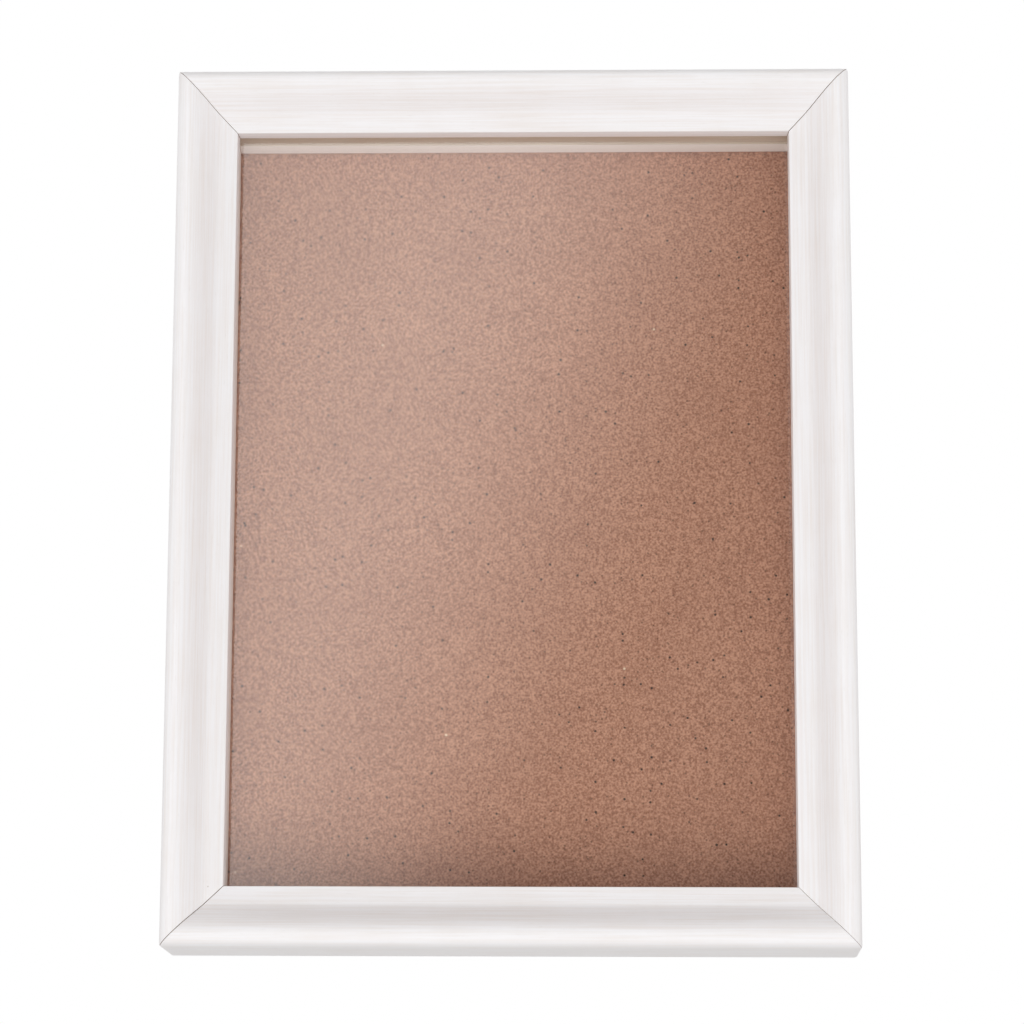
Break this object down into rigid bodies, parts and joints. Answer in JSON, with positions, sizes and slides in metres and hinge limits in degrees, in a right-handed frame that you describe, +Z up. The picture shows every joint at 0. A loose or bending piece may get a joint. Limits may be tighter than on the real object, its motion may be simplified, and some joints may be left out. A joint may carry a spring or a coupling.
{
  "type": "shadow box",
  "caption": "Wall-hung shadow box: mitred white wooden moulding around a glass pane, spacer strips and a hardboard back held by metal turn buttons.",
  "frame": {"origin": "the point on the back plane under the middle notch of the toothed hanger, where the wall's nail carries the box", "axes": "-Y points out of the glass towards the viewer, +Z is up, +X is to the viewer's right, and the back of the frame lies in the plane y = 0"},
  "size_m": [0.1756, 0.0393, 0.2264],
  "materials": {
    "white_stained_wood": "thin white stain under matt lacquer, fine grain showing",
    "bare_strip_wood": "bare pale strip wood, sawn smooth",
    "clear_glass": "clear float glass, polished edges",
    "brown_hardboard": "brown hardboard, smooth side to the front, dark fibre specks",
    "zinc_plated_steel": "zinc plated, satin",
    "brassed_steel": "brass-plated steel",
    "galvanised_steel": "galvanised, dull"
  },
  "bodies": {
    "frame": {"rail_top": "white_stained_wood", "rail_bottom": "white_stained_wood", "rail_left": "white_stained_wood", "rail_right": "white_stained_wood", "glass_pane": "clear_glass", "spacer_top": "bare_strip_wood", "spacer_bottom": "bare_strip_wood", "spacer_left": "bare_strip_wood", "spacer_right": "bare_strip_wood", "back_board": "brown_hardboard", "corner_nail_bottom_left": "galvanised_steel", "corner_nail_bottom_right": "galvanised_steel", "corner_nail_top_left": "galvanised_steel", "corner_nail_top_right": "galvanised_steel", "button_screw_left_lower": "zinc_plated_steel", "button_screw_left_upper": "zinc_plated_steel", "button_screw_right_lower": "zinc_plated_steel", "button_screw_right_upper": "zinc_plated_steel", "sawtooth_hanger": "brassed_steel", "hanger_nail_left": "brassed_steel", "hanger_nail_right": "brassed_steel"},
    "button_left_lower": {"turn_button_left_lower": "zinc_plated_steel"},
    "button_left_upper": {"turn_button_left_upper": "zinc_plated_steel"},
    "button_right_lower": {"turn_button_right_lower": "zinc_plated_steel"},
    "button_right_upper": {"turn_button_right_upper": "zinc_plated_steel"}
  },
  "joints": [
    {"name": "turn_left_lower", "type": "hinge", "parent": "frame", "child": "button_left_lower", "pos_m": [-0.0822, 0.0008, -0.1617], "axis": [0, 1, 0], "continuous": true},
    {"name": "turn_left_upper", "type": "hinge", "parent": "frame", "child": "button_left_upper", "pos_m": [-0.0822, 0.0008, -0.0497], "axis": [0, 1, 0], "continuous": true},
    {"name": "turn_right_lower", "type": "hinge", "parent": "frame", "child": "button_right_lower", "pos_m": [0.0822, 0.0008, -0.1617], "axis": [0, 1, 0], "continuous": true},
    {"name": "turn_right_upper", "type": "hinge", "parent": "frame", "child": "button_right_upper", "pos_m": [0.0822, 0.0008, -0.0497], "axis": [0, 1, 0], "continuous": true}
  ]
}
